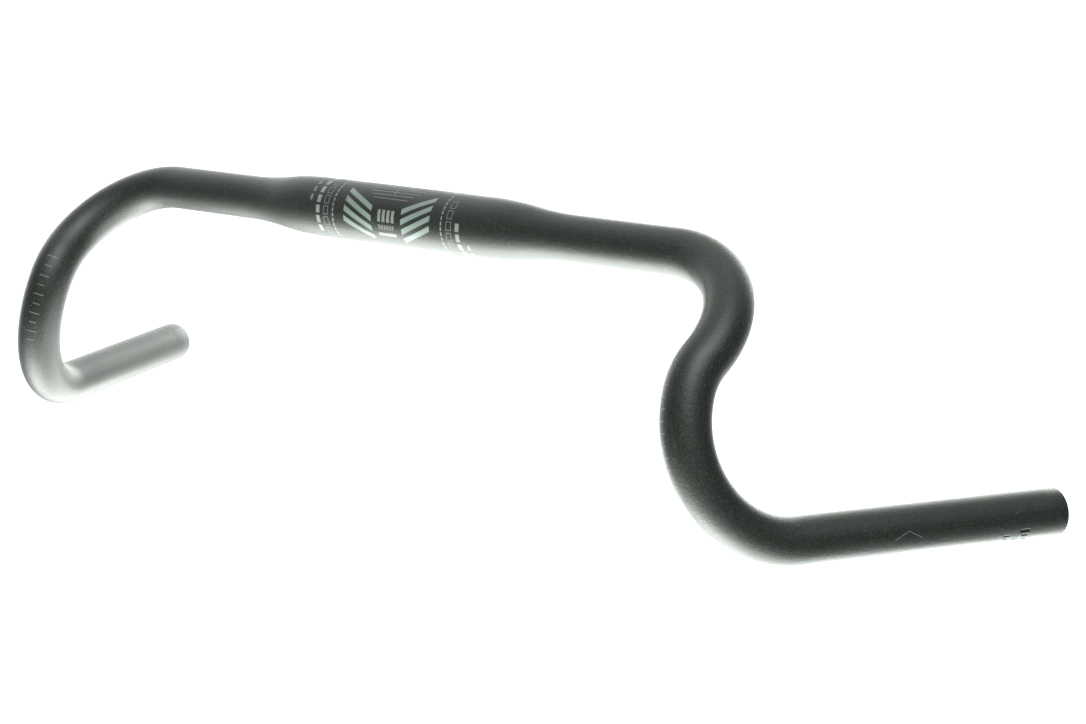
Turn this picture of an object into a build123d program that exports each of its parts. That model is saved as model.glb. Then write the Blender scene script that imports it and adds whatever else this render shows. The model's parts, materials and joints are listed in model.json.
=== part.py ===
from build123d import *
import os
from math import cos, degrees, hypot, radians, sin

# Drop handlebar for a road or gravel bicycle: one hollow aluminium tube with a bulged clamp zone,
# flared drops and open ends, and the thin printed transfers that lie on it.
# Millimetres and degrees. Origin at the centre of the clamp zone. +X runs along the tops to the
# right-hand drop, -Y is forward and +Z is up, with both straight drops level.

# ---- driving dimensions of the tube ----
CLAMP_DIAMETER = 31.8
GRIP_DIAMETER = 23.8
CLAMP_WALL = 2.0
GRIP_WALL = 1.5
CLAMP_HALF_LENGTH = 59.0
TAPER_LENGTH = 55.5
TOP_HALF_LENGTH = 176.0
TOP_BEND_RADIUS = 50.5
RAMP_PITCH = 40.7
RAMP_TOE_IN = 9.7
FLARE = 23.8
UPPER_HOOK_RADIUS = 34.5
UPPER_HOOK_TURN = 29.0
MIDDLE_HOOK_RADIUS = 54.0
MIDDLE_HOOK_TURN = 72.0
LOWER_HOOK_RADIUS = 54.5
DROP_LENGTH = 146.0
END_CHAMFER = 0.35

# ---- driving dimensions of the printed transfers ----
FILM = 0.05
STRIPE_COUNT = 4
STRIPE_HEIGHT = 11.0
STRIPE_PITCH = 19.5
STRIPE_RISE = 34.0
STRIPE_INNER_X = 10.5
STRIPE_TO_DASH_RING = 7.55
STRIPE_LOWEST = -46.0
SIZE_BLOCK_COUNT = 4
SIZE_BLOCK_WIDTH = 2.0
SIZE_BLOCK_PITCH = 3.2
SIZE_BLOCK_ANGLES = (-5.0, 18.0)
GRADE_BLOCK_COUNT = 6
GRADE_BLOCK_WIDTH = 1.2
GRADE_BLOCK_PITCH = 1.9
GRADE_BLOCK_ANGLES = (-20.0, -11.0)
MAKER_BAR_LENGTH = 12.5
MAKER_BAR_ANGLES = (-34.0, -27.0)
ANGLE_LINE_COUNT = 7
ANGLE_LINE_FIRST = 41.0
ANGLE_LINE_PITCH = 8.8
ANGLE_LINE_WIDTH = 0.45
ANGLE_LINE_SHORTEST = 12.0
ANGLE_LINE_TO_DASH_RING = 9.45
CENTRE_LINE_ANGLES = (54.0, 99.0)
CENTRE_LINE_WIDTH = 0.5
# Each ring lies FROM_EDGE inside the end of the clamp zone. Its angles are where it starts and stops,
# first on the right-hand side and then on the left.
DASH_RING_FROM_EDGE = 20.6
DASH_RING_WIDTH = 0.9
DASH_SWEEP = 7.0
DASH_PITCH = 10.0
DASH_RING_ANGLES = ((100.0, -100.0), (90.0, -110.0))
FRAME_RING_FROM_EDGE = 15.4
FRAME_RING_WIDTH = 3.6
FRAME_LINE = 0.4
FRAME_SWEEP = 17.0
FRAME_PITCH = 21.0
FRAME_RING_ANGLES = ((54.0, -93.0), (96.0, -72.0))
BLOCK_RING_FROM_EDGE = 9.6
BLOCK_RING_WIDTH = 2.6
BLOCK_SWEEP = 15.0
BLOCK_PITCH = 20.0
BLOCK_RING_ANGLES = ((10.0, -110.0), (92.0, -48.0))
OUTER_RING_FROM_EDGE = 3.7
OUTER_RING_WIDTH = 1.6
OUTER_SWEEP = 12.0
OUTER_PITCH = 18.0
OUTER_RING_ANGLES = ((-30.0, -120.0), (86.0, 14.0))
TICK_COUNT = 10
TICK_FIRST = 8.5
TICK_PITCH = 4.52
TICK_THICKNESS = 0.45
TICK_CENTRE = 5.5
LONG_TICK_SWEEP = 30.0
SHORT_TICK_SWEEP = 20.0
CHEVRON_FROM_END = 101.0
CHEVRON_LENGTH = 15.5
CHEVRON_HEIGHT = 3.9
CHEVRON_LINE = 0.3
CHEVRON_CENTRE = -79.0
# Each dark bar near the right end: its distance from the end, length, angle and width.
END_MARKS = (
    (28.0, 5.5, -55.0, 1.9),
    (26.5, 3.6, -42.0, 1.3),
    (25.0, 2.5, -28.0, 0.9),
    (31.0, 3.3, -29.0, 0.9),
    (37.2, 3.5, -45.0, 1.0),
    (36.5, 2.4, -34.0, 0.9),
)
END_MARK_KEY_LINE = 0.35
END_ARC_FROM_END = 21.0
END_ARC_WIDTH = 0.7
END_ARC_ANGLES = (130.0, 204.0)

# ---- worked out from the driving dimensions ----
CLAMP_RADIUS = CLAMP_DIAMETER / 2
GRIP_RADIUS = GRIP_DIAMETER / 2
CLAMP_BORE = CLAMP_RADIUS - CLAMP_WALL
GRIP_BORE = GRIP_RADIUS - GRIP_WALL
TAPER_END = CLAMP_HALF_LENGTH + TAPER_LENGTH
DASH_RING_INNER_X = CLAMP_HALF_LENGTH - DASH_RING_FROM_EDGE - DASH_RING_WIDTH / 2
STRIPE_OUTER_X = DASH_RING_INNER_X - STRIPE_TO_DASH_RING
ANGLE_LINE_LONGEST = DASH_RING_INNER_X - ANGLE_LINE_TO_DASH_RING
RAMP = Vector(
    -sin(radians(RAMP_TOE_IN)),
    -cos(radians(RAMP_TOE_IN)) * cos(radians(RAMP_PITCH)),
    -cos(radians(RAMP_TOE_IN)) * sin(radians(RAMP_PITCH)),
)
DROP = Vector(sin(radians(FLARE)), cos(radians(FLARE)), 0)
HOOK_AXIS = RAMP.cross(DROP).normalized()
HOOK_TURN = RAMP.get_angle(DROP)


class Bend:
    """A round bend of the right-hand side: it starts at a point and turns about an axis."""

    def __init__(self, start, heading, turn_axis, radius, turn):
        self.start = start
        self.heading = heading
        self.turn_axis = turn_axis
        self.radius = radius
        self.turn = turn
        self.centre = start + turn_axis.cross(heading) * radius
        self.length = radians(turn) * radius

    def heading_at(self, turn):
        return self.heading.rotate(Axis((0, 0, 0), self.turn_axis), turn)

    def point_at(self, turn):
        return self.centre + (self.start - self.centre).rotate(Axis((0, 0, 0), self.turn_axis), turn)

    def section_plane(self, turn):
        """The cross-section plane at a turn, with its X pointing away from the bend's centre."""
        heading = self.heading_at(turn)
        return Plane(origin=self.point_at(turn), x_dir=heading.cross(self.turn_axis), z_dir=heading)

    def revolve_from(self, face, turn):
        return revolve(face, axis=Axis(self.centre, self.turn_axis), revolution_arc=turn)


def right_hand_bends():
    """The top bend and the three bends of the hook, each starting where the last one ends."""
    across = Vector(1, 0, 0)
    top_axis = across.cross(RAMP).normalized()
    top = Bend(Vector(TOP_HALF_LENGTH, 0, 0), across, top_axis, TOP_BEND_RADIUS, across.get_angle(RAMP))
    bends = [top]
    lower_turn = HOOK_TURN - UPPER_HOOK_TURN - MIDDLE_HOOK_TURN
    hook = (
        (UPPER_HOOK_RADIUS, UPPER_HOOK_TURN),
        (MIDDLE_HOOK_RADIUS, MIDDLE_HOOK_TURN),
        (LOWER_HOOK_RADIUS, lower_turn),
    )
    for radius, turn in hook:
        last = bends[-1]
        bends.append(Bend(last.point_at(last.turn), last.heading_at(last.turn), HOOK_AXIS, radius, turn))
    return bends


BENDS = right_hand_bends()
DROP_START = BENDS[-1].point_at(BENDS[-1].turn)
DROP_END = DROP_START + DROP * DROP_LENGTH


# ---- the tube ----
def s_taper(start_x, start_radius, end_x, end_radius):
    """Two equal arcs, tangent to each other and level at both ends."""
    middle = ((start_x + end_x) / 2, (start_radius + end_radius) / 2)
    first = TangentArc((start_x, start_radius), middle, tangent=(1, 0))
    second = TangentArc(middle, (end_x, end_radius), tangent=first % 1)
    return [first, second]


def half_profile(middle_radius, grip_radius):
    """One side of the tops as a line of radius against X, from the middle to the first bend."""
    flat = Line((0, middle_radius), (CLAMP_HALF_LENGTH, middle_radius))
    taper = s_taper(CLAMP_HALF_LENGTH, middle_radius, TAPER_END, grip_radius)
    top = Line((TAPER_END, grip_radius), (TOP_HALF_LENGTH, grip_radius))
    return [flat, *taper, top]


def half_tops():
    """The right half of the straight tops, butted on the inside and bulged at the clamp."""
    outside = half_profile(CLAMP_RADIUS, GRIP_RADIUS)
    inside = half_profile(CLAMP_BORE, GRIP_BORE)
    middle = Line((0, CLAMP_BORE), (0, CLAMP_RADIUS))
    end = Line((TOP_HALF_LENGTH, GRIP_BORE), (TOP_HALF_LENGTH, GRIP_RADIUS))
    wall = make_face([*outside, end, *inside, middle])
    return revolve(wall, axis=Axis.X, revolution_arc=360)


def tube_section(plane):
    return plane * (Circle(GRIP_RADIUS) - Circle(GRIP_BORE))


def straight_drop():
    plane = Plane(origin=DROP_START, x_dir=HOOK_AXIS, z_dir=DROP)
    tube = extrude(tube_section(plane), amount=DROP_LENGTH)
    circles = tube.edges().filter_by(GeomType.CIRCLE)
    rims = [circle for circle in circles if (circle.arc_center - DROP_END).length < GRIP_WALL]
    return chamfer(rims, END_CHAMFER)


def bar_half():
    half = half_tops()
    for bend in BENDS:
        half += bend.revolve_from(tube_section(bend.section_plane(0)), bend.turn)
    return half + straight_drop()


def bar_tube():
    right = bar_half()
    return right + mirrored(right)


def mirrored(shape):
    return mirror(shape, about=Plane.YZ)


# ---- films on the clamp zone ----
# An angle on the clamp zone is 0 straight forward and grows upwards.
def clamp_band(low_x, high_x, low_angle, high_angle, extra=0.0):
    """A patch of film between two X values and two angles, that may reach extra past both its skins."""
    start = radians(low_angle)
    plane = Plane(origin=(0, 0, 0), x_dir=(1, 0, 0), z_dir=(0, -sin(start), -cos(start)))
    low_radius = CLAMP_RADIUS - extra
    high_radius = CLAMP_RADIUS + FILM + extra
    corners = [(low_x, low_radius), (high_x, low_radius), (high_x, high_radius), (low_x, high_radius)]
    patch = plane * make_face(Polyline(*corners, close=True))
    return revolve(patch, axis=Axis((0, 0, 0), (-1, 0, 0)), revolution_arc=high_angle - low_angle)


def clamp_shape(points, middle_angle):
    """A film whose corners are given as X and angle, cut square to the surface at middle_angle."""
    facing = Vector(0, -cos(radians(middle_angle)), sin(radians(middle_angle)))
    corners = [(x, CLAMP_RADIUS * sin(radians(angle - middle_angle))) for x, angle in points]
    plane = Plane(origin=(0, 0, 0), x_dir=(1, 0, 0), z_dir=facing)
    prism = extrude(plane * make_face(Polyline(*corners, close=True)), amount=CLAMP_DIAMETER)
    sleeve = Rot(0, 90, 0) * (
        Cylinder(CLAMP_RADIUS + FILM, 2 * CLAMP_HALF_LENGTH) - Cylinder(CLAMP_RADIUS, 2 * CLAMP_HALF_LENGTH)
    )
    return sleeve & prism


def clamp_stripes():
    """Equal slanted bands on the right of the middle."""
    bands = []
    for number in range(STRIPE_COUNT):
        low = STRIPE_LOWEST + number * STRIPE_PITCH
        high = low + STRIPE_HEIGHT
        middle = (low + high + STRIPE_RISE) / 2
        corners = [
            (STRIPE_INNER_X, low),
            (STRIPE_OUTER_X, low + STRIPE_RISE),
            (STRIPE_OUTER_X, high + STRIPE_RISE),
            (STRIPE_INNER_X, high),
        ]
        bands.append(clamp_shape(corners, middle))
    return bands


def block_row(count, width, pitch, angles):
    """A level row of equal blocks, centred on the middle of the bar."""
    first = -(count - 1) * pitch / 2
    centres = [first + number * pitch for number in range(count)]
    return [clamp_band(x - width / 2, x + width / 2, *angles) for x in centres]


def angle_lines():
    """Axial lines, longer towards the top, for setting the bar's rotation."""
    half_sweep = degrees(ANGLE_LINE_WIDTH / CLAMP_RADIUS) / 2
    growth = (ANGLE_LINE_LONGEST - ANGLE_LINE_SHORTEST) / (ANGLE_LINE_COUNT - 1)
    lines = []
    for number in range(ANGLE_LINE_COUNT):
        angle = ANGLE_LINE_FIRST + number * ANGLE_LINE_PITCH
        reach = ANGLE_LINE_SHORTEST + number * growth
        lines += angle_line_pieces(reach, angle - half_sweep, angle + half_sweep)
    return lines


def angle_line_pieces(reach, low_angle, high_angle):
    """One axial line, left open where the centre line crosses it."""
    gap = CENTRE_LINE_WIDTH
    if high_angle < CENTRE_LINE_ANGLES[0] or low_angle > CENTRE_LINE_ANGLES[1]:
        return [clamp_band(-reach, reach, low_angle, high_angle)]
    return [clamp_band(-reach, -gap, low_angle, high_angle), clamp_band(gap, reach, low_angle, high_angle)]


def ring_of_bands(x, width, sweep, pitch, first_angle, last_angle):
    """Equal patches round the clamp zone, from first_angle down to last_angle."""
    count = int((first_angle - last_angle) / pitch)
    highs = [first_angle - number * pitch for number in range(count)]
    return [clamp_band(x - width / 2, x + width / 2, high - sweep, high) for high in highs]


def ring_of_frames(x, width, sweep, pitch, first_angle, last_angle):
    """Outlined blocks round the clamp zone: each is a patch with its middle cut out."""
    line_sweep = degrees(FRAME_LINE / CLAMP_RADIUS)
    low_x = x - width / 2 + FRAME_LINE
    high_x = x + width / 2 - FRAME_LINE
    frames = []
    for number, patch in enumerate(ring_of_bands(x, width, sweep, pitch, first_angle, last_angle)):
        high = first_angle - number * pitch
        middle = clamp_band(low_x, high_x, high - sweep + line_sweep, high - line_sweep, extra=FILM)
        frames.append(patch - middle)
    return frames


# ---- films on the hooks and drops ----
# An angle here is 0 on the outside of the hook and grows towards the bar's outer side.
def sector(plane, low_angle, high_angle):
    """A thin arc of film, seen along the tube, on a cross-section plane of the grip tube."""
    sweep = high_angle - low_angle
    inner = CenterArc((0, 0), GRIP_RADIUS, low_angle, sweep)
    outer = CenterArc((0, 0), GRIP_RADIUS + FILM, low_angle, sweep)
    sides = [Line(inner @ 0, outer @ 0), Line(inner @ 1, outer @ 1)]
    return plane * make_face([inner, outer, *sides])


def bend_at(distance):
    """The hook bend that holds a distance along the hook, and the turn within it."""
    for bend in BENDS[1:]:
        if distance <= bend.length:
            return bend, degrees(distance / bend.radius)
        distance -= bend.length
    raise ValueError("that distance is past the hook")


def lever_scale():
    """Short and long ticks in turn down the front of the hook, for setting the lever's height."""
    ticks = []
    for number in range(TICK_COUNT):
        sweep = SHORT_TICK_SWEEP if number % 2 else LONG_TICK_SWEEP
        bend, turn = bend_at(TICK_FIRST + number * TICK_PITCH)
        tick_turn = degrees(TICK_THICKNESS / (bend.radius + GRIP_RADIUS))
        plane = bend.section_plane(turn - tick_turn / 2)
        face = sector(plane, TICK_CENTRE - sweep / 2, TICK_CENTRE + sweep / 2)
        ticks.append(bend.revolve_from(face, tick_turn))
    return ticks


def drop_plane(from_end):
    """A cross-section plane of the right drop, that far from its end."""
    return Plane(origin=DROP_END - DROP * from_end, x_dir=DROP.cross(HOOK_AXIS), z_dir=DROP)


def drop_band(from_end, length, low_angle, high_angle):
    """A patch of film on the right drop, that starts from_end and runs length towards the end."""
    return extrude(sector(drop_plane(from_end), low_angle, high_angle), amount=length)


def drop_chevron():
    """Two hairlines that meet in a point, on the outer side of the right drop."""
    middle = drop_plane(CHEVRON_FROM_END - CHEVRON_LENGTH / 2)
    outward = middle.x_dir * cos(radians(CHEVRON_CENTRE)) + middle.y_dir * sin(radians(CHEVRON_CENTRE))
    plane = Plane(origin=middle.origin, x_dir=DROP, z_dir=outward)
    foot = -CHEVRON_HEIGHT / 2
    half = CHEVRON_LENGTH / 2
    slant = hypot(half, CHEVRON_HEIGHT)
    across = CHEVRON_LINE * slant / half
    up = 1 if plane.y_dir.Z > 0 else -1
    corners = [
        (-half, up * foot),
        (0, up * (foot + CHEVRON_HEIGHT)),
        (half, up * foot),
        (half, up * (foot + across)),
        (0, up * (foot + CHEVRON_HEIGHT + across)),
        (-half, up * (foot + across)),
    ]
    prism = extrude(plane * make_face(Polyline(*corners, close=True)), amount=GRIP_DIAMETER)
    sleeve_plane = drop_plane(CHEVRON_FROM_END + CHEVRON_LENGTH)
    sleeve = extrude(
        sleeve_plane * (Circle(GRIP_RADIUS + FILM) - Circle(GRIP_RADIUS)), amount=3 * CHEVRON_LENGTH
    )
    return [sleeve & prism]


def end_mark_bars():
    """The dark bars near the right end."""
    bars = []
    for from_end, length, angle, width in END_MARKS:
        edge = degrees(width / GRIP_RADIUS) / 2
        bars.append(drop_band(from_end, length, angle - edge, angle + edge))
    return bars


def end_key_lines():
    """The pale hairlines along the upper edge of each dark bar."""
    line = degrees(END_MARK_KEY_LINE / GRIP_RADIUS)
    lines = []
    for from_end, length, angle, width in END_MARKS:
        edge = degrees(width / GRIP_RADIUS) / 2
        lines.append(drop_band(from_end, length, angle - edge - line, angle - edge))
    return lines


def end_arc():
    return [mirrored(drop_band(END_ARC_FROM_END, END_ARC_WIDTH, *END_ARC_ANGLES))]


# ---- all nodes ----
def ring_pair(name, maker, from_edge, sizes, angles):
    """A ring on each side of the middle, each over its own range of angles."""
    x = CLAMP_HALF_LENGTH - from_edge
    right_angles, left_angles = angles
    right = maker(x, *sizes, *right_angles)
    left = [mirrored(piece) for piece in maker(x, *sizes, *left_angles)]
    return {name + "_right": right, name + "_left": left}


def all_nodes():
    stripes = clamp_stripes()
    ticks = lever_scale()
    nodes = {
        "bar_tube": [bar_tube()],
        "clamp_stripes_right": stripes,
        "clamp_stripes_left": [mirrored(band) for band in stripes],
        "size_blocks": block_row(SIZE_BLOCK_COUNT, SIZE_BLOCK_WIDTH, SIZE_BLOCK_PITCH, SIZE_BLOCK_ANGLES),
        "grade_blocks": block_row(
            GRADE_BLOCK_COUNT, GRADE_BLOCK_WIDTH, GRADE_BLOCK_PITCH, GRADE_BLOCK_ANGLES
        ),
        "maker_bar": [clamp_band(-MAKER_BAR_LENGTH / 2, MAKER_BAR_LENGTH / 2, *MAKER_BAR_ANGLES)],
        "angle_lines": angle_lines(),
        "centre_line": [clamp_band(-CENTRE_LINE_WIDTH / 2, CENTRE_LINE_WIDTH / 2, *CENTRE_LINE_ANGLES)],
        "lever_scale_right": ticks,
        "lever_scale_left": [mirrored(tick) for tick in ticks],
        "drop_chevron": drop_chevron(),
        "end_marks": end_mark_bars(),
        "end_key_lines": end_key_lines(),
        "end_arc": end_arc(),
    }
    dashes = (DASH_RING_WIDTH, DASH_SWEEP, DASH_PITCH)
    frames = (FRAME_RING_WIDTH, FRAME_SWEEP, FRAME_PITCH)
    blocks = (BLOCK_RING_WIDTH, BLOCK_SWEEP, BLOCK_PITCH)
    outer = (OUTER_RING_WIDTH, OUTER_SWEEP, OUTER_PITCH)
    nodes |= ring_pair("dash_ring", ring_of_bands, DASH_RING_FROM_EDGE, dashes, DASH_RING_ANGLES)
    nodes |= ring_pair("frame_ring", ring_of_frames, FRAME_RING_FROM_EDGE, frames, FRAME_RING_ANGLES)
    nodes |= ring_pair("block_ring", ring_of_bands, BLOCK_RING_FROM_EDGE, blocks, BLOCK_RING_ANGLES)
    nodes |= ring_pair("outer_ring", ring_of_bands, OUTER_RING_FROM_EDGE, outer, OUTER_RING_ANGLES)
    return nodes


os.makedirs("parts", exist_ok=True)
for node, solids in all_nodes().items():
    shape = solids[0] if len(solids) == 1 else Compound(children=solids)
    export_step(shape, f"parts/{node}.step")
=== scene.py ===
import json
from math import cos, pi, radians, sin, sqrt

import bmesh
import bpy
from bpy.props import FloatProperty, FloatVectorProperty, IntProperty, PointerProperty
from mathutils import Matrix, Vector


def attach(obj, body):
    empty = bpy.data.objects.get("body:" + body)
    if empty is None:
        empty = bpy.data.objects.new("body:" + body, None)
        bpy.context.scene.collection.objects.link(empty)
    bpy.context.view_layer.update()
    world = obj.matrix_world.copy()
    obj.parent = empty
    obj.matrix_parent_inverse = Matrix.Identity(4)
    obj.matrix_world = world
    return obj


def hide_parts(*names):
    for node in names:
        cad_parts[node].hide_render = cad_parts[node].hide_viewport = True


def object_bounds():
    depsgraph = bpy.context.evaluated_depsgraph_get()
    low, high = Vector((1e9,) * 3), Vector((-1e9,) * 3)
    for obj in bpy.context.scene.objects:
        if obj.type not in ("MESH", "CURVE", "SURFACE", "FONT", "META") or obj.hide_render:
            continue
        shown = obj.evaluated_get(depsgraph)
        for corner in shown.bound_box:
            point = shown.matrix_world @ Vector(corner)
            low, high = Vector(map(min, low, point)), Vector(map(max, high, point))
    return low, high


bl_info = {
    "name": "Drop Handlebar Finish",
    "version": (1, 0, 0),
    "blender": (4, 5, 0),
    "location": "View3D > Sidebar > Handlebar",
    "description": "Builds the finished drop handlebar round its packed frame",
    "category": "Object",
}

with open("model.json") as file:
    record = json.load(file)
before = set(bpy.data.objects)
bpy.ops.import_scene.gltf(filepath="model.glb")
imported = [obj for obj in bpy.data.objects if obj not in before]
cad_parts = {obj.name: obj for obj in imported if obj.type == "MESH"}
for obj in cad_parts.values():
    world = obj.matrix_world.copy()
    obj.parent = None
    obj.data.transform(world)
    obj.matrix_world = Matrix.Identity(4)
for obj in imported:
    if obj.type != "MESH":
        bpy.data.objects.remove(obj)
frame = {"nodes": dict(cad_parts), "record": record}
CAD_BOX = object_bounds()
MM = 0.001
# Points of a mesh that are closer than this, in metres, are one point.
WELD_DISTANCE = 1e-6
MOUNTS = {mount["name"]: mount for mount in frame["record"]["mounts"]}
CLAMP_MOUNT = MOUNTS["stem_clamp"]
BORE_MOUNT = MOUNTS["right_bar_end"]
GRIP_MOUNT = MOUNTS["right_drop_grip"]
DROP_HEADING = Vector(BORE_MOUNT["axis"])


# ---------------------------------------------------------------- settings
class TubeSettings(bpy.types.PropertyGroup):
    """The sizes of the bent tube"""

    clamp_radius: FloatProperty(
        name="Clamp radius",
        description="Outside radius of the bulged clamp zone",
        default=CLAMP_MOUNT["dims"]["r_mm"] * MM,
        unit="LENGTH",
    )
    clamp_half_length: FloatProperty(
        name="Clamp half length",
        description="Half the length of the straight clamp zone",
        default=CLAMP_MOUNT["dims"]["length_mm"] * MM / 2,
        unit="LENGTH",
    )
    clamp_wall: FloatProperty(
        name="Clamp wall", description="Wall thickness at the clamp zone", default=0.002, unit="LENGTH"
    )
    grip_radius: FloatProperty(
        name="Grip radius",
        description="Outside radius of the tops, hooks and drops",
        default=GRIP_MOUNT["dims"]["r_mm"] * MM,
        unit="LENGTH",
    )
    bore_radius: FloatProperty(
        name="Bore radius",
        description="Inside radius of the tops, hooks and drops",
        default=BORE_MOUNT["dims"]["r_mm"] * MM,
        unit="LENGTH",
    )
    taper_length: FloatProperty(
        name="Taper length",
        description="Length from the clamp zone to the grip size",
        default=0.0555,
        unit="LENGTH",
    )
    top_half_length: FloatProperty(
        name="Top half length",
        description="Distance from the middle to the start of the first bend",
        default=0.176,
        unit="LENGTH",
    )
    top_bend_radius: FloatProperty(
        name="Top bend radius",
        description="Centreline radius of the first bend",
        default=0.0505,
        unit="LENGTH",
    )
    ramp_pitch: FloatProperty(
        name="Ramp pitch", description="Fall of the ramp below level", default=radians(40.7), subtype="ANGLE"
    )
    ramp_toe_in: FloatProperty(
        name="Ramp toe-in",
        description="Turn of the ramp towards the middle",
        default=radians(9.7),
        subtype="ANGLE",
    )
    upper_hook_radius: FloatProperty(
        name="Upper hook radius",
        description="Centreline radius where the hook starts",
        default=0.0345,
        unit="LENGTH",
    )
    upper_hook_turn: FloatProperty(
        name="Upper hook turn", description="Turn of the upper hook", default=radians(29), subtype="ANGLE"
    )
    middle_hook_radius: FloatProperty(
        name="Middle hook radius", description="Centreline radius of the hook", default=0.054, unit="LENGTH"
    )
    middle_hook_turn: FloatProperty(
        name="Middle hook turn",
        description="Turn of the middle of the hook",
        default=radians(72),
        subtype="ANGLE",
    )
    lower_hook_radius: FloatProperty(
        name="Lower hook radius",
        description="Centreline radius where the hook ends",
        default=0.0545,
        unit="LENGTH",
    )
    rim_round: FloatProperty(
        name="Rim round",
        description="Radius on the two edges of each open end",
        default=0.00035,
        unit="LENGTH",
    )
    sides: IntProperty(name="Sides", description="Faces round the tube", default=96, min=24)
    bend_step: FloatProperty(
        name="Bend step", description="Turn between two rings in a bend", default=radians(3), subtype="ANGLE"
    )
    run_step: FloatProperty(
        name="Run step",
        description="Distance between two rings in a straight run",
        default=0.012,
        unit="LENGTH",
    )
    taper_rings: IntProperty(name="Taper rings", description="Rings along the taper", default=24, min=4)


class FinishSettings(bpy.types.PropertyGroup):
    """The colours of the paint, the prints and the bare metal"""

    paint: FloatVectorProperty(
        name="Paint", description="Matt black coat", subtype="COLOR", size=3, default=(0.0145, 0.0172, 0.0149)
    )
    metal: FloatVectorProperty(
        name="Metal",
        description="Bare aluminium of the bore",
        subtype="COLOR",
        size=3,
        default=(0.5, 0.505, 0.51),
    )
    green_print: FloatVectorProperty(
        name="Green print", description="Slanted bands", subtype="COLOR", size=3, default=(0.215, 0.27, 0.25)
    )
    white_print: FloatVectorProperty(
        name="White print",
        description="Blocks and rings",
        subtype="COLOR",
        size=3,
        default=(0.23, 0.25, 0.24),
    )
    grey_print: FloatVectorProperty(
        name="Grey print",
        description="Fine lines and ticks",
        subtype="COLOR",
        size=3,
        default=(0.17, 0.185, 0.18),
    )
    black_print: FloatVectorProperty(
        name="Black print",
        description="Black bars at the end",
        subtype="COLOR",
        size=3,
        default=(0.006, 0.006, 0.006),
    )


class StageSettings(bpy.types.PropertyGroup):
    """The camera, the light tent and the soft lamps"""

    azimuth: FloatProperty(
        name="Azimuth",
        description="Turn of the camera round the bar",
        default=radians(39.49),
        subtype="ANGLE",
    )
    elevation: FloatProperty(
        name="Elevation",
        description="Height of the camera above level",
        default=radians(10.79),
        subtype="ANGLE",
    )
    roll: FloatProperty(name="Roll", description="Tilt of the camera", default=radians(1.18), subtype="ANGLE")
    distance: FloatProperty(
        name="Distance",
        description="From the camera to the middle of the view",
        default=1.2050,
        unit="LENGTH",
    )
    aim: FloatVectorProperty(
        name="Aim",
        description="The middle of the view",
        subtype="XYZ",
        size=3,
        default=(0.0651, 0.0357, -0.0729),
    )
    lens: FloatProperty(name="Lens", description="Focal length in millimetres", default=76.47)
    floor_size: FloatProperty(name="Floor size", description="Width of the floor", default=6.0, unit="LENGTH")
    backdrop: FloatProperty(name="Backdrop", description="Brightness of the plain pale backdrop", default=1.6)
    tint: FloatVectorProperty(
        name="Tint",
        description="Colour of all the light",
        subtype="COLOR",
        size=3,
        default=(0.955, 1.0, 0.957),
    )
    dim: FloatProperty(name="Dim", description="Brightness of the tent where no panel shines", default=0.01)
    table: FloatProperty(name="Table", description="Brightness of the lit table on the left", default=11.8)
    table_front: FloatProperty(
        name="Table front", description="Brightness of the table before the bar", default=2.7
    )
    table_back: FloatProperty(
        name="Table back", description="Brightness of the table behind the bar", default=5.2
    )
    front_box: FloatProperty(
        name="Front box", description="Brightness of the soft box above the camera", default=6.5
    )
    roof: FloatProperty(name="Roof", description="Brightness of the tent's roof", default=1.2)
    left_wall: FloatProperty(
        name="Left wall", description="Brightness of the wall behind on the left", default=3.3
    )
    back_wall: FloatProperty(
        name="Back wall", description="Brightness of the wall straight behind", default=3.3
    )
    right_wall: FloatProperty(
        name="Right wall", description="Brightness of the wall behind on the right", default=4.8
    )
    left_lamp: FloatProperty(
        name="Left lamp", description="Watts of the soft lamp under the left drop", default=1.65
    )
    right_lamp: FloatProperty(
        name="Right lamp", description="Watts of the soft lamp under the right ramp", default=1.75
    )
    back_lamp: FloatProperty(
        name="Back lamp", description="Watts of the soft lamp behind the left end", default=0.32
    )


# ---------------------------------------------------------------- tube
def new_piece(name, bm, material_list, node=None):
    """Puts a finished bmesh into the scene as a piece that rides on the root body."""
    mesh = bpy.data.meshes.new(name)
    bm.to_mesh(mesh)
    bm.free()
    for material in material_list:
        mesh.materials.append(material)
    piece = bpy.data.objects.new(name, mesh)
    bpy.context.scene.collection.objects.link(piece)
    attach(piece, "root")
    if node:
        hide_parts(node)
    return piece


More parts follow.
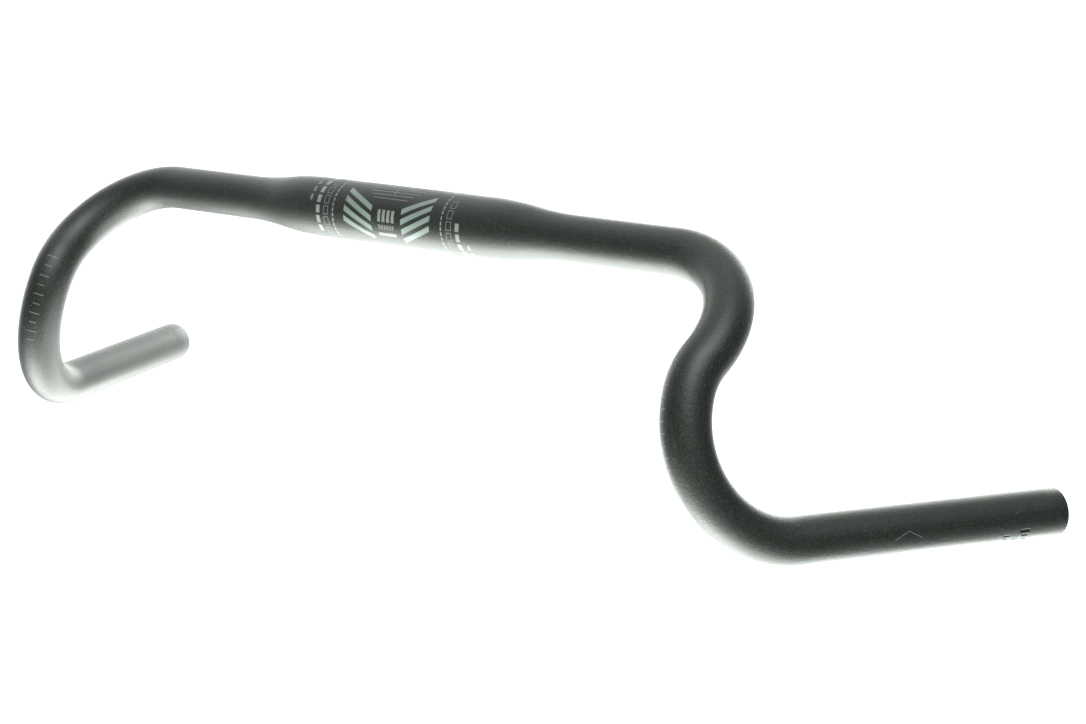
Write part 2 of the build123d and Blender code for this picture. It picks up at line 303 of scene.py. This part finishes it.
class Sweep:
    """A ring of edges that is pushed along the bar, and leaves a skin behind it."""

    def __init__(self, bm, radius, sides):
        self.bm = bm
        self.straight = bm.verts.layers.float_vector.get("straight")
        self.radius = radius
        self.along = 0.0
        self.centre = Vector((0, 0, 0))
        self.heading = Vector((1, 0, 0))
        stand_up = Matrix.Rotation(pi / 2, 4, "Y")
        made = bmesh.ops.create_circle(bm, cap_ends=False, segments=sides, radius=radius, matrix=stand_up)
        self.verts = made["verts"]
        self.edges = list({edge for vert in self.verts for edge in vert.link_edges})
        for vert in self.verts:
            vert[self.straight] = vert.co

    def _take(self, geometry):
        """The newest ring becomes the ring that is pushed next."""
        self.verts = [item for item in geometry if isinstance(item, bmesh.types.BMVert)]
        ring = set(self.verts)
        self.edges = [
            item for item in geometry if isinstance(item, bmesh.types.BMEdge) and ring.issuperset(item.verts)
        ]

    def _mark(self, moved, radius):
        """Each new vertex keeps its place on the tube as it was before bending."""
        self.along += moved
        growth = radius / self.radius
        for vert in self.verts:
            old = vert[self.straight]
            vert[self.straight] = Vector((self.along, old.y * growth, old.z * growth))
        self.radius = radius

    def run(self, distance, radius):
        """One straight step, that ends at a radius."""
        made = bmesh.ops.extrude_edge_only(self.bm, edges=self.edges)
        self._take(made["geom"])
        growth = radius / self.radius
        about = Matrix.Translation(-self.centre)
        bmesh.ops.scale(self.bm, vec=(growth,) * 3, space=about, verts=self.verts)
        bmesh.ops.translate(self.bm, vec=self.heading * distance, verts=self.verts)
        self.centre = self.centre + self.heading * distance
        self._mark(distance, radius)

    def long_run(self, distance, step):
        """A straight run at one radius, in equal steps."""
        count = max(1, round(distance / step))
        for _ in range(count):
            self.run(distance / count, self.radius)

    def bend(self, axis, radius, turn, step):
        """A round bend about an axis, in equal steps."""
        pivot = self.centre + axis.cross(self.heading) * radius
        count = max(1, round(turn / step))
        for _ in range(count):
            made = bmesh.ops.spin(
                self.bm,
                geom=self.verts + self.edges,
                cent=pivot,
                axis=axis,
                dvec=(0, 0, 0),
                angle=turn / count,
                steps=1,
                use_merge=False,
                use_duplicate=False,
            )
            self._take(made["geom_last"])
            spin = Matrix.Rotation(turn / count, 3, axis)
            self.centre = pivot + spin @ (self.centre - pivot)
            self.heading = spin @ self.heading
            self._mark(radius * turn / count, self.radius)


def s_share(share, length, height):
    """How far two equal tangent arcs have stepped across, at a share of their length."""
    half = length / 2
    bend_radius = (half * half + height * height / 4) / height
    reach = min(share, 1 - share) * length
    step = bend_radius - sqrt(bend_radius * bend_radius - reach * reach)
    return step / height if share <= 0.5 else 1 - step / height


def sweep_skin(bm, size, clamp_radius, grip_radius):
    """One skin of the right half, outside or inside, from the middle of the bar to its open end."""
    skin = Sweep(bm, clamp_radius, size.sides)
    skin.long_run(size.clamp_half_length, size.run_step)
    fall = clamp_radius - grip_radius
    for ring in range(1, size.taper_rings + 1):
        share = s_share(ring / size.taper_rings, size.taper_length, fall)
        skin.run(size.taper_length / size.taper_rings, clamp_radius - fall * share)
    skin.long_run(size.top_half_length - size.clamp_half_length - size.taper_length, size.run_step)
    toe, pitch = size.ramp_toe_in, size.ramp_pitch
    ramp = Vector((-sin(toe), -cos(toe) * cos(pitch), -cos(toe) * sin(pitch)))
    top_axis = skin.heading.cross(ramp).normalized()
    skin.bend(top_axis, size.top_bend_radius, skin.heading.angle(ramp), size.bend_step)
    hook_axis = ramp.cross(DROP_HEADING).normalized()
    lower_turn = ramp.angle(DROP_HEADING) - size.upper_hook_turn - size.middle_hook_turn
    skin.bend(hook_axis, size.upper_hook_radius, size.upper_hook_turn, size.bend_step)
    skin.bend(hook_axis, size.middle_hook_radius, size.middle_hook_turn, size.bend_step)
    skin.bend(hook_axis, size.lower_hook_radius, lower_turn, size.bend_step)
    skin.long_run(BORE_MOUNT["dims"]["length_mm"] * MM, size.run_step)
    return skin


def build_tube(size, materials):
    """The whole tube: two skins joined at each open end, and mirrored about the middle."""
    bm = bmesh.new()
    bm.verts.layers.float_vector.new("straight")
    outside = sweep_skin(bm, size, size.clamp_radius, size.grip_radius)
    painted = set(bm.faces)
    inside = sweep_skin(bm, size, size.clamp_radius - size.clamp_wall, size.bore_radius)
    for face in bm.faces:
        face.material_index = 0 if face in painted else 1
    # Two loops with one centre can be bridged the wrong way round, so the inner one stands back meanwhile.
    stand_back = inside.heading * MM
    bmesh.ops.translate(bm, vec=-stand_back, verts=inside.verts)
    rim = bmesh.ops.bridge_loops(bm, edges=outside.edges + inside.edges)
    bmesh.ops.translate(bm, vec=stand_back, verts=inside.verts)
    for face in rim["faces"]:
        face.material_index = 0
    bmesh.ops.recalc_face_normals(bm, faces=bm.faces)
    bmesh.ops.bevel(
        bm,
        geom=outside.edges + inside.edges,
        offset=size.rim_round,
        offset_type="OFFSET",
        segments=3,
        profile=0.5,
        affect="EDGES",
        material=-1,
    )
    bmesh.ops.mirror(bm, geom=bm.verts[:] + bm.edges[:] + bm.faces[:], axis="X", merge_dist=WELD_DISTANCE)
    bmesh.ops.remove_doubles(bm, verts=bm.verts, dist=WELD_DISTANCE)
    bmesh.ops.recalc_face_normals(bm, faces=bm.faces)
    for face in bm.faces:
        face.smooth = True
    return new_piece("bar_tube_finished", bm, materials, "bar_tube")


# ---------------------------------------------------------------- node groups
# The scale of each pattern: about so many of its cells fit in a metre.
PAINT_GRAIN_SCALE = 1700.0
PRINT_GRAIN_SCALE = 2600.0
PAINT_DUST_SCALE = 230.0
PRINT_DUST_SCALE = 300.0
HANDLING_SCALE = 22.0
PRINT_PATCH_SCALE = 420.0
PRINT_TONE_SCALE = 90.0
METAL_LINE_SCALE = 3000.0
METAL_BLOTCH_SCALE = 160.0
# Along the tube the metal's lines have this share of their scale across it, so they are drawn out.
METAL_LINE_STRETCH = 0.02
# The coarse grain under the fine grain: its share of the scale, and its weight in the height.
COARSE_GRAIN_SCALE = 0.35
COARSE_GRAIN_WEIGHT = 1.2
# The share of the cells that hold no speck of dust.
DUST_FREE_SHARE = 0.72
# The depth of each relief, in metres.
PAINT_GRAIN_DEPTH = 0.0001
PRINT_GRAIN_DEPTH = 0.00002
METAL_LINE_DEPTH = 0.00001
PAINT_DUST_COLOUR = (0.3, 0.31, 0.3, 1)
PRINT_DUST_COLOUR = (0.45, 0.46, 0.45, 1)
COAT_IOR = 1.5
BLACK_PRINT_IOR = 1.12


def add(tree, kind, **values):
    """A node of a kind, with its properties set."""
    node = tree.nodes.new(kind)
    for key, value in values.items():
        setattr(node, key, value)
    return node


def noise(tree, vector, scale, detail=2.0, roughness=0.5):
    node = add(tree, "ShaderNodeTexNoise")
    node.inputs["Scale"].default_value = scale
    node.inputs["Detail"].default_value = detail
    node.inputs["Roughness"].default_value = roughness
    tree.links.new(vector, node.inputs["Vector"])
    return node.outputs["Fac"]


def remap(tree, value, from_low, from_high, to_low, to_high):
    node = add(tree, "ShaderNodeMapRange", clamp=True)
    bounds = (from_low, from_high, to_low, to_high)
    for name, bound in zip(("From Min", "From Max", "To Min", "To Max"), bounds):
        node.inputs[name].default_value = bound
    tree.links.new(value, node.inputs["Value"])
    return node.outputs["Result"]


def arithmetic(tree, operation, first, second):
    node = add(tree, "ShaderNodeMath", operation=operation)
    for socket, value in zip(node.inputs, (first, second)):
        if isinstance(value, bpy.types.NodeSocket):
            tree.links.new(value, socket)
        else:
            socket.default_value = value
    return node.outputs["Value"]


def mix_colours(tree, share, first, second):
    node = add(tree, "ShaderNodeMix", data_type="RGBA")
    colour_inputs = [socket for socket in node.inputs if socket.type == "RGBA"]
    factor = next(socket for socket in node.inputs if socket.type == "VALUE")
    for socket, value in ((factor, share), (colour_inputs[0], first), (colour_inputs[1], second)):
        if isinstance(value, bpy.types.NodeSocket):
            tree.links.new(value, socket)
        else:
            socket.default_value = value
    return next(socket for socket in node.outputs if socket.type == "RGBA")


def rgba(colour, share=1.0):
    return (colour[0] * share, colour[1] * share, colour[2] * share, 1.0)


def new_group(name, inputs, outputs):
    """An empty shader group with named sockets. Each input is a name, a kind and a default."""
    tree = bpy.data.node_groups.new(name, "ShaderNodeTree")
    for socket_name, kind, default in inputs:
        socket = tree.interface.new_socket(socket_name, in_out="INPUT", socket_type=kind)
        socket.default_value = default
    for socket_name, kind in outputs:
        tree.interface.new_socket(socket_name, in_out="OUTPUT", socket_type=kind)
    return tree, add(tree, "NodeGroupInput"), add(tree, "NodeGroupOutput")


def grain_group():
    """Fine bead-blast grain: a height, a mask of the same grain, and only its highest specks."""
    tree, given, result = new_group(
        "Blast Grain",
        [("Vector", "NodeSocketVector", (0, 0, 0)), ("Scale", "NodeSocketFloat", 2200.0)],
        [("Height", "NodeSocketFloat"), ("Mask", "NodeSocketFloat"), ("Peaks", "NodeSocketFloat")],
    )
    fine = add(tree, "ShaderNodeTexNoise")
    fine.inputs["Detail"].default_value = 2.0
    coarse = add(tree, "ShaderNodeTexNoise")
    coarse.inputs["Detail"].default_value = 1.0
    tree.links.new(given.outputs["Vector"], fine.inputs["Vector"])
    tree.links.new(given.outputs["Vector"], coarse.inputs["Vector"])
    tree.links.new(given.outputs["Scale"], fine.inputs["Scale"])
    coarse_scale = arithmetic(tree, "MULTIPLY", given.outputs["Scale"], COARSE_GRAIN_SCALE)
    tree.links.new(coarse_scale, coarse.inputs["Scale"])
    coarse_height = arithmetic(tree, "MULTIPLY", coarse.outputs["Fac"], COARSE_GRAIN_WEIGHT)
    both = arithmetic(tree, "ADD", fine.outputs["Fac"], coarse_height)
    tree.links.new(both, result.inputs["Height"])
    tree.links.new(remap(tree, fine.outputs["Fac"], 0.35, 0.65, 0.0, 1.0), result.inputs["Mask"])
    tree.links.new(remap(tree, fine.outputs["Fac"], 0.55, 0.68, 0.0, 1.0), result.inputs["Peaks"])
    return tree


def dust_group():
    """Sparse specks of dust and lint."""
    tree, given, result = new_group(
        "Dust Specks",
        [
            ("Vector", "NodeSocketVector", (0, 0, 0)),
            ("Scale", "NodeSocketFloat", 260.0),
            ("Size", "NodeSocketFloat", 0.07),
        ],
        [("Mask", "NodeSocketFloat")],
    )
    cells = add(tree, "ShaderNodeTexVoronoi", feature="F1")
    tree.links.new(given.outputs["Vector"], cells.inputs["Vector"])
    tree.links.new(given.outputs["Scale"], cells.inputs["Scale"])
    chance = add(tree, "ShaderNodeSeparateColor")
    tree.links.new(cells.outputs["Color"], chance.inputs["Color"])
    size = arithmetic(tree, "MULTIPLY", chance.outputs["Green"], given.outputs["Size"])
    spot = arithmetic(tree, "LESS_THAN", cells.outputs["Distance"], size)
    few = arithmetic(tree, "GREATER_THAN", chance.outputs["Red"], DUST_FREE_SHARE)
    tree.links.new(arithmetic(tree, "MULTIPLY", spot, few), result.inputs["Mask"])
    return tree


def handling_group():
    """Broad, soft patches where hands have smoothed the coat."""
    tree, given, result = new_group(
        "Handling", [("Vector", "NodeSocketVector", (0, 0, 0))], [("Mask", "NodeSocketFloat")]
    )
    broad = noise(tree, given.outputs["Vector"], HANDLING_SCALE, 3.0, 0.55)
    tree.links.new(remap(tree, broad, 0.35, 0.7, 0.0, 1.0), result.inputs["Mask"])
    return tree


def place_group(tree, group, vector, **values):
    node = add(tree, "ShaderNodeGroup", node_tree=group)
    tree.links.new(vector, node.inputs["Vector"])
    for name, value in values.items():
        node.inputs[name].default_value = value
    return node


# ---------------------------------------------------------------- materials
def new_material(name):
    material = bpy.data.materials.new(name)
    material.use_nodes = True
    tree = material.node_tree
    tree.nodes.clear()
    shader = add(tree, "ShaderNodeBsdfPrincipled")
    output = add(tree, "ShaderNodeOutputMaterial")
    tree.links.new(shader.outputs["BSDF"], output.inputs["Surface"])
    place = add(tree, "ShaderNodeTexCoord").outputs["Object"]
    return material, tree, shader, place


def bump(tree, height, shader, distance, strength=1.0):
    node = add(tree, "ShaderNodeBump")
    node.inputs["Distance"].default_value = distance
    node.inputs["Strength"].default_value = strength
    tree.links.new(height, node.inputs["Height"])
    tree.links.new(node.outputs["Normal"], shader.inputs["Normal"])


def matt_black_paint(colour, groups):
    """Matt black coat over bead-blasted tube."""
    material, tree, shader, place = new_material("matt_black_paint")
    grain = place_group(tree, groups["grain"], place, Scale=PAINT_GRAIN_SCALE)
    dust = place_group(tree, groups["dust"], place, Scale=PAINT_DUST_SCALE, Size=0.075)
    handling = place_group(tree, groups["handling"], place)
    coat = mix_colours(tree, grain.outputs["Mask"], rgba(colour, 0.7), rgba(colour, 1.15))
    shade = mix_colours(tree, grain.outputs["Peaks"], coat, rgba(colour, 3.0))
    faded = mix_colours(tree, remap(tree, handling.outputs["Mask"], 0, 1, 0, 0.25), shade, rgba(colour, 1.5))
    dust_share = arithmetic(tree, "MULTIPLY", dust.outputs["Mask"], 0.55)
    dusty = mix_colours(tree, dust_share, faded, PAINT_DUST_COLOUR)
    tree.links.new(dusty, shader.inputs["Base Color"])
    base_rough = remap(tree, handling.outputs["Mask"], 0, 1, 0.4, 0.35)
    grain_rough = remap(tree, grain.outputs["Peaks"], 0, 1, -0.01, 0.16)
    rough = arithmetic(tree, "ADD", base_rough, grain_rough)
    dust_rough = arithmetic(tree, "MULTIPLY", dust.outputs["Mask"], 0.35)
    tree.links.new(arithmetic(tree, "ADD", rough, dust_rough), shader.inputs["Roughness"])
    shader.inputs["IOR"].default_value = COAT_IOR
    bump(tree, grain.outputs["Height"], shader, PAINT_GRAIN_DEPTH, 0.8)
    return material


def bare_metal(colour):
    """Drawn aluminium inside the tube, with lines that follow its length."""
    material, tree, shader, _ = new_material("bare_aluminium")
    straight = add(tree, "ShaderNodeAttribute", attribute_name="straight")
    stretch = add(tree, "ShaderNodeMapping")
    stretch.inputs["Scale"].default_value = (METAL_LINE_STRETCH, 1.0, 1.0)
    tree.links.new(straight.outputs["Vector"], stretch.inputs["Vector"])
    lines = noise(tree, stretch.outputs["Vector"], METAL_LINE_SCALE, 3.0, 0.6)
    blotches = noise(tree, straight.outputs["Vector"], METAL_BLOTCH_SCALE, 3.0, 0.6)
    shade = mix_colours(tree, remap(tree, lines, 0.3, 0.7, 0, 1), rgba(colour, 0.8), rgba(colour, 1.0))
    stained = mix_colours(tree, remap(tree, blotches, 0.5, 0.75, 0, 0.4), shade, rgba(colour, 0.6))
    tree.links.new(stained, shader.inputs["Base Color"])
    tree.links.new(remap(tree, blotches, 0.3, 0.7, 0.45, 0.6), shader.inputs["Roughness"])
    shader.inputs["Metallic"].default_value = 1.0
    bump(tree, lines, shader, METAL_LINE_DEPTH, 0.5)
    return material


def print_ink(name, colour, paint, groups, roughness, cover, ior=COAT_IOR):
    """Printed film over the grain: pinholes and thin patches let the black coat through."""
    material, tree, shader, place = new_material(name)
    grain = place_group(tree, groups["grain"], place, Scale=PRINT_GRAIN_SCALE)
    dust = place_group(tree, groups["dust"], place, Scale=PRINT_DUST_SCALE, Size=0.06)
    patches = noise(tree, place, PRINT_PATCH_SCALE, 4.0, 0.65)
    thin = remap(tree, patches, 0.46, 0.72, 0.0, 1.0 - cover)
    hollows = remap(tree, grain.outputs["Mask"], 0.55, 0.0, 0.0, 1.0)
    pores = arithmetic(tree, "MULTIPLY", hollows, 1.0 - cover)
    through = arithmetic(tree, "MAXIMUM", thin, pores)
    shade = mix_colours(tree, noise(tree, place, PRINT_TONE_SCALE), rgba(colour, 0.88), rgba(colour, 1.1))
    inked = mix_colours(tree, through, shade, rgba(paint, 1.6))
    dust_share = arithmetic(tree, "MULTIPLY", dust.outputs["Mask"], 0.5)
    dusty = mix_colours(tree, dust_share, inked, PRINT_DUST_COLOUR)
    tree.links.new(dusty, shader.inputs["Base Color"])
    rough = remap(tree, patches, 0.3, 0.7, roughness - 0.05, roughness + 0.07)
    tree.links.new(rough, shader.inputs["Roughness"])
    shader.inputs["IOR"].default_value = ior
    bump(tree, grain.outputs["Height"], shader, PRINT_GRAIN_DEPTH, 0.4)
    return material


def make_materials(finish):
    """Every material of the bar, by a plain name."""
    groups = {"grain": grain_group(), "dust": dust_group(), "handling": handling_group()}
    paint = finish.paint
    return {
        "paint": matt_black_paint(paint, groups),
        "metal": bare_metal(finish.metal),
        "print_green": print_ink("grey_green_print", finish.green_print, paint, groups, 0.42, 0.86),
        "print_white": print_ink("off_white_print", finish.white_print, paint, groups, 0.42, 0.8),
        "print_grey": print_ink("thin_grey_print", finish.grey_print, paint, groups, 0.45, 0.7),
        "print_black": print_ink(
            "deep_black_print", finish.black_print, paint, groups, 0.5, 0.95, BLACK_PRINT_IOR
        ),
    }


# ---------------------------------------------------------------- prints
def finish_node(node, material):
    """Gives a CAD node its own material."""
    piece = frame["nodes"][node]
    piece.material_slots[0].link = "OBJECT"
    piece.material_slots[0].material = material


def slot_of(node):
    """The record's material slot of a node."""
    return next(part["material_slot"] for part in frame["record"]["subparts"] if part["node"] == node)


def finish_nodes(nodes):
    for node in nodes:
        slot_name = slot_of(node)
        finish_node(node, MATERIALS[slot_name])


# ---------------------------------------------------------------- stage
# Each soft panel of the tent: its setting, its turn and height as seen from the bar, in degrees, where a turn
# of 0 is towards the camera and grows to the camera's right, and how tightly it shines.
PANELS = (
    ("table", -88, -67, 11.0),
    ("table_front", 0, -60, 6.0),
    ("table_back", 150, -50, 8.0),
    ("front_box", 10, 52, 12.0),
    ("roof", -160, 50, 2.5),
    ("left_wall", -145, 5, 14.0),
    ("back_wall", 175, 2, 18.0),
    ("right_wall", 156, 14, 26.0),
)
# Each soft lamp near the bar: its setting, its place, the point it faces and its width, in metres.
LAMPS = (
    ("left_lamp", (-0.17, 0.09, -0.26), (-0.17, 0.09, 0.0), 0.38),
    ("right_lamp", (0.15, 0.06, -0.26), (0.15, 0.06, 0.0), 0.38),
    ("back_lamp", (-0.3, 0.35, -0.15), (-0.27, 0.02, -0.12), 0.3),
)


def camera_only(tree, seen_by_camera, seen_by_rest):
    """One shader for what the camera sees, and another for all other light."""
    path = add(tree, "ShaderNodeLightPath")
    choice = add(tree, "ShaderNodeMixShader")
    tree.links.new(path.outputs["Is Camera Ray"], choice.inputs["Fac"])
    tree.links.new(seen_by_rest, choice.inputs[1])
    tree.links.new(seen_by_camera, choice.inputs[2])
    return choice.outputs["Shader"]


def build_floor(size, brightness):
    """A pale floor that the tent's light shines up through."""
    bm = bmesh.new()
    under_the_bar = Matrix.Translation((0, 0, CAD_BOX[0].z))
    bmesh.ops.create_grid(bm, x_segments=1, y_segments=1, size=size / 2, matrix=under_the_bar)
    mesh = bpy.data.meshes.new("floor")
    bm.to_mesh(mesh)
    bm.free()
    floor = bpy.data.objects.new("floor", mesh)
    bpy.context.scene.collection.objects.link(floor)
    material = bpy.data.materials.new("lit_table")
    material.use_nodes = True
    tree = material.node_tree
    tree.nodes.clear()
    glow = add(tree, "ShaderNodeEmission")
    glow.inputs["Strength"].default_value = brightness
    clear = add(tree, "ShaderNodeBsdfTransparent")
    output = add(tree, "ShaderNodeOutputMaterial")
    surface = camera_only(tree, glow.outputs["Emission"], clear.outputs["BSDF"])
    tree.links.new(surface, output.inputs["Surface"])
    mesh.materials.append(material)


def panel_glow(tree, direction, aim, brightness, tightness):
    """The light of one soft panel: full in its middle, and fading evenly all round."""
    facing = add(tree, "ShaderNodeVectorMath", operation="DOT_PRODUCT")
    tree.links.new(direction, facing.inputs[0])
    facing.inputs[1].default_value = aim
    away = arithmetic(tree, "SUBTRACT", facing.outputs["Value"], 1.0)
    fade = arithmetic(tree, "EXPONENT", arithmetic(tree, "MULTIPLY", away, tightness), 0.0)
    return arithmetic(tree, "MULTIPLY", fade, brightness)


def build_tent(stage):
    """Soft panels all round the bar, and a plain pale backdrop."""
    world = bpy.data.worlds.new("tent")
    bpy.context.scene.world = world
    world.use_nodes = True
    tree = world.node_tree
    tree.nodes.clear()
    direction = add(tree, "ShaderNodeTexCoord").outputs["Generated"]
    towards = Vector((sin(stage.azimuth), -cos(stage.azimuth), 0))
    right = Vector((cos(stage.azimuth), sin(stage.azimuth), 0))
    strength = None
    for setting, turn, height, tightness in PANELS:
        level = towards * cos(radians(turn)) + right * sin(radians(turn))
        aim = level * cos(radians(height)) + Vector((0, 0, sin(radians(height))))
        glow = panel_glow(tree, direction, aim, getattr(stage, setting), tightness)
        strength = arithmetic(tree, "ADD", glow, stage.dim if strength is None else strength)
    tent = add(tree, "ShaderNodeBackground")
    tree.links.new(strength, tent.inputs["Strength"])
    tent.inputs["Color"].default_value = rgba(stage.tint)
    plain = add(tree, "ShaderNodeBackground")
    plain.inputs["Strength"].default_value = stage.backdrop
    output = add(tree, "ShaderNodeOutputWorld")
    surface = camera_only(tree, plain.outputs["Background"], tent.outputs["Background"])
    tree.links.new(surface, output.inputs["Surface"])


def build_lamps(stage):
    """Soft lamps near the bar, that light its underside and never show."""
    for setting, place, target, width in LAMPS:
        data = bpy.data.lights.new(setting, "AREA")
        data.energy = getattr(stage, setting)
        data.size = width
        data.color = stage.tint
        lamp = bpy.data.objects.new(setting, data)
        facing = (Vector(target) - Vector(place)).to_track_quat("-Z", "Y")
        lamp.matrix_world = Matrix.Translation(place) @ facing.to_matrix().to_4x4()
        lamp.visible_camera = False
        bpy.context.scene.collection.objects.link(lamp)


def build_camera(stage):
    data = bpy.data.cameras.new("camera")
    data.lens = stage.lens
    camera = bpy.data.objects.new("camera", data)
    bpy.context.scene.collection.objects.link(camera)
    azimuth, elevation = stage.azimuth, stage.elevation
    back = Vector((sin(azimuth) * cos(elevation), -cos(azimuth) * cos(elevation), sin(elevation)))
    side = Vector((cos(azimuth), sin(azimuth), 0))
    up = back.cross(side)
    tilt = Matrix.Rotation(stage.roll, 3, back)
    right, top = tilt @ side, tilt @ up
    turn = Matrix((right, top, back)).transposed()
    camera.matrix_world = Matrix.Translation(Vector(stage.aim) + back * stage.distance) @ turn.to_4x4()
    bpy.context.scene.camera = camera


# ---------------------------------------------------------------- operators
MATERIALS = {}


class HANDLEBAR_OT_materials(bpy.types.Operator):
    """Makes the paint, the bare metal and the printing inks"""

    bl_idname = "handlebar.materials"
    bl_label = "Materials"

    def execute(self, context):
        MATERIALS.update(make_materials(context.scene.handlebar_finish))
        return {"FINISHED"}


class HANDLEBAR_OT_tube(bpy.types.Operator):
    """Builds the butted, bent and painted tube"""

    bl_idname = "handlebar.tube"
    bl_label = "Tube"

    def execute(self, context):
        build_tube(context.scene.handlebar_tube, [MATERIALS["paint"], MATERIALS["metal"]])
        return {"FINISHED"}


class HANDLEBAR_OT_clamp_prints(bpy.types.Operator):
    """Finishes the bands, blocks and setting lines on the clamp zone"""

    bl_idname = "handlebar.clamp_prints"
    bl_label = "Clamp prints"

    def execute(self, context):
        finish_nodes(["clamp_stripes_left", "clamp_stripes_right", "size_blocks", "grade_blocks"])
        finish_nodes(["maker_bar", "angle_lines", "centre_line"])
        return {"FINISHED"}


class HANDLEBAR_OT_ring_prints(bpy.types.Operator):
    """Finishes the rings on both sides of the clamp zone"""

    bl_idname = "handlebar.ring_prints"
    bl_label = "Ring prints"

    def execute(self, context):
        for ring in ("dash_ring", "frame_ring", "block_ring", "outer_ring"):
            finish_nodes([ring + "_left", ring + "_right"])
        return {"FINISHED"}


class HANDLEBAR_OT_hook_prints(bpy.types.Operator):
    """Finishes the lever scales on the hooks"""

    bl_idname = "handlebar.hook_prints"
    bl_label = "Hook prints"

    def execute(self, context):
        finish_nodes(["lever_scale_left", "lever_scale_right"])
        return {"FINISHED"}


class HANDLEBAR_OT_drop_prints(bpy.types.Operator):
    """Finishes the marks on the drops"""

    bl_idname = "handlebar.drop_prints"
    bl_label = "Drop prints"

    def execute(self, context):
        finish_nodes(["drop_chevron", "end_marks", "end_key_lines", "end_arc"])
        return {"FINISHED"}


class HANDLEBAR_OT_stage(bpy.types.Operator):
    """Builds the pale floor, the light tent, the soft lamps and the camera"""

    bl_idname = "handlebar.stage"
    bl_label = "Stage"

    def execute(self, context):
        stage = context.scene.handlebar_stage
        build_floor(stage.floor_size, stage.backdrop)
        build_tent(stage)
        build_lamps(stage)
        build_camera(stage)
        context.scene.view_settings.view_transform = "Standard"
        return {"FINISHED"}


OPERATORS = (
    HANDLEBAR_OT_materials,
    HANDLEBAR_OT_tube,
    HANDLEBAR_OT_clamp_prints,
    HANDLEBAR_OT_ring_prints,
    HANDLEBAR_OT_hook_prints,
    HANDLEBAR_OT_drop_prints,
    HANDLEBAR_OT_stage,
)


class HANDLEBAR_PT_panel(bpy.types.Panel):
    """Lists the steps that build the handlebar"""

    bl_idname = "HANDLEBAR_PT_panel"
    bl_label = "Drop Handlebar"
    bl_space_type = "VIEW_3D"
    bl_region_type = "UI"
    bl_category = "Handlebar"

    def draw(self, context):
        for operator in OPERATORS:
            self.layout.operator(operator.bl_idname)
        for settings in (
            context.scene.handlebar_tube,
            context.scene.handlebar_finish,
            context.scene.handlebar_stage,
        ):
            box = self.layout.box()
            for name in settings.__annotations__:
                box.prop(settings, name)


CLASSES = (TubeSettings, FinishSettings, StageSettings, *OPERATORS, HANDLEBAR_PT_panel)


def register():
    for item in CLASSES:
        bpy.utils.register_class(item)
    bpy.types.Scene.handlebar_tube = PointerProperty(type=TubeSettings)
    bpy.types.Scene.handlebar_finish = PointerProperty(type=FinishSettings)
    bpy.types.Scene.handlebar_stage = PointerProperty(type=StageSettings)


def unregister():
    del bpy.types.Scene.handlebar_stage
    del bpy.types.Scene.handlebar_finish
    del bpy.types.Scene.handlebar_tube
    for item in reversed(CLASSES):
        bpy.utils.unregister_class(item)


def main():
    register()
    for operator in OPERATORS:
        group, name = operator.bl_idname.split(".")
        getattr(getattr(bpy.ops, group), name)()


if __name__ == "__main__":
    main()
